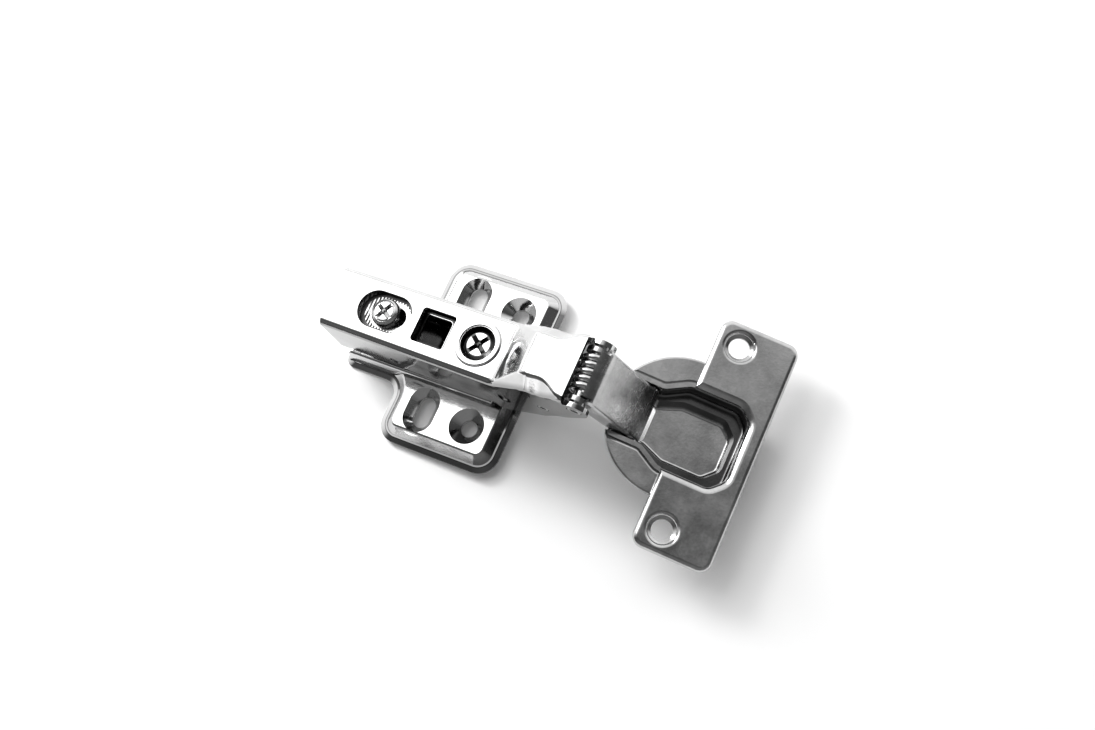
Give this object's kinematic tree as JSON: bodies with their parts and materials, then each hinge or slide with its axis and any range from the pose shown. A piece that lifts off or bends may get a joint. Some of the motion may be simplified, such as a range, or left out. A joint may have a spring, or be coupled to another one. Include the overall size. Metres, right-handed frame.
{
  "type": "concealed cup hinge",
  "caption": "Concealed furniture hinge: stamped cup with flange, curved and straight links, cranked arm, slide adapter and pressed cruciform mounting plate, shown open.",
  "frame": {"origin": "on the panel face, midway between the two slots of the mounting plate", "axes": "+X along the arm towards the cup, +Y across the arm, +Z out of the panel"},
  "size_m": [0.1128, 0.0596, 0.0361],
  "materials": {
    "mounting_plate": "polished nickel plate",
    "clamp_nut": "bright zinc plate",
    "fixing_screw": "polished nickel plate",
    "slide_adapter": "bright zinc plate",
    "tilt_rivets": "bright zinc plate",
    "guide_pin": "bright zinc plate",
    "side_screw": "bright zinc plate",
    "arm": "polished nickel plate",
    "front_pin": "bright zinc plate",
    "rear_pin": "bright zinc plate",
    "link_spring": "bright zinc plate",
    "outer_link": "satin nickel plate",
    "inner_link": "satin nickel plate",
    "outer_cup_pin": "bright zinc plate",
    "inner_cup_pin": "bright zinc plate",
    "cup": "satin nickel plate"
  },
  "bodies": {
    "base": {"mounting_plate": "mounting_plate", "clamp_nut": "clamp_nut", "fixing_screw": "fixing_screw"},
    "slide": {"slide_adapter": "slide_adapter", "tilt_rivets": "tilt_rivets", "guide_pin": "guide_pin"},
    "side_screw": {"side_screw": "side_screw"},
    "arm": {"arm": "arm", "front_pin": "front_pin", "rear_pin": "rear_pin", "link_spring": "link_spring"},
    "outer_link": {"outer_link": "outer_link"},
    "cup": {"cup": "cup", "outer_cup_pin": "outer_cup_pin", "inner_cup_pin": "inner_cup_pin"},
    "inner_link": {"inner_link": "inner_link"}
  },
  "joints": [
    {"name": "depth_slide", "type": "slide", "parent": "base", "child": "slide", "axis": [1, 0, 0], "range_m": [-0.0025, 0.0009]},
    {"name": "overlay_tilt", "type": "hinge", "parent": "slide", "child": "arm", "pos_m": [-0.0081, 0, 0.0121], "axis": [0, 1, 0], "range_deg": [-1.2, 1.2]},
    {"name": "side_screw_turn", "type": "hinge", "parent": "slide", "child": "side_screw", "pos_m": [0.01605, 0, 0.0215], "axis": [0, 0, 1], "range_deg": [-185, 185]},
    {"name": "outer_link_swing", "type": "hinge", "parent": "arm", "child": "outer_link", "pos_m": [0.0472, 0, 0.0269], "axis": [0, 1, 0], "range_deg": [0, 18.5]},
    {"name": "cup_swing", "type": "hinge", "parent": "outer_link", "child": "cup", "pos_m": [0.0564, 0, 0.0098], "axis": [0, -1, 0], "range_deg": [0, 126.36]},
    {"name": "inner_link_swing", "type": "hinge", "parent": "cup", "child": "inner_link", "pos_m": [0.05266, 0, 0.0106], "axis": [0, 1, 0], "range_deg": [0, 126.5]}
  ],
  "couplings": [
    {"joint": "side_screw_turn", "follows": "overlay_tilt", "ratio": 151.74},
    {"joint": "outer_link_swing", "follows": "cup_swing", "ratio": 0.1453},
    {"joint": "inner_link_swing", "follows": "cup_swing", "ratio": 1}
  ]
}
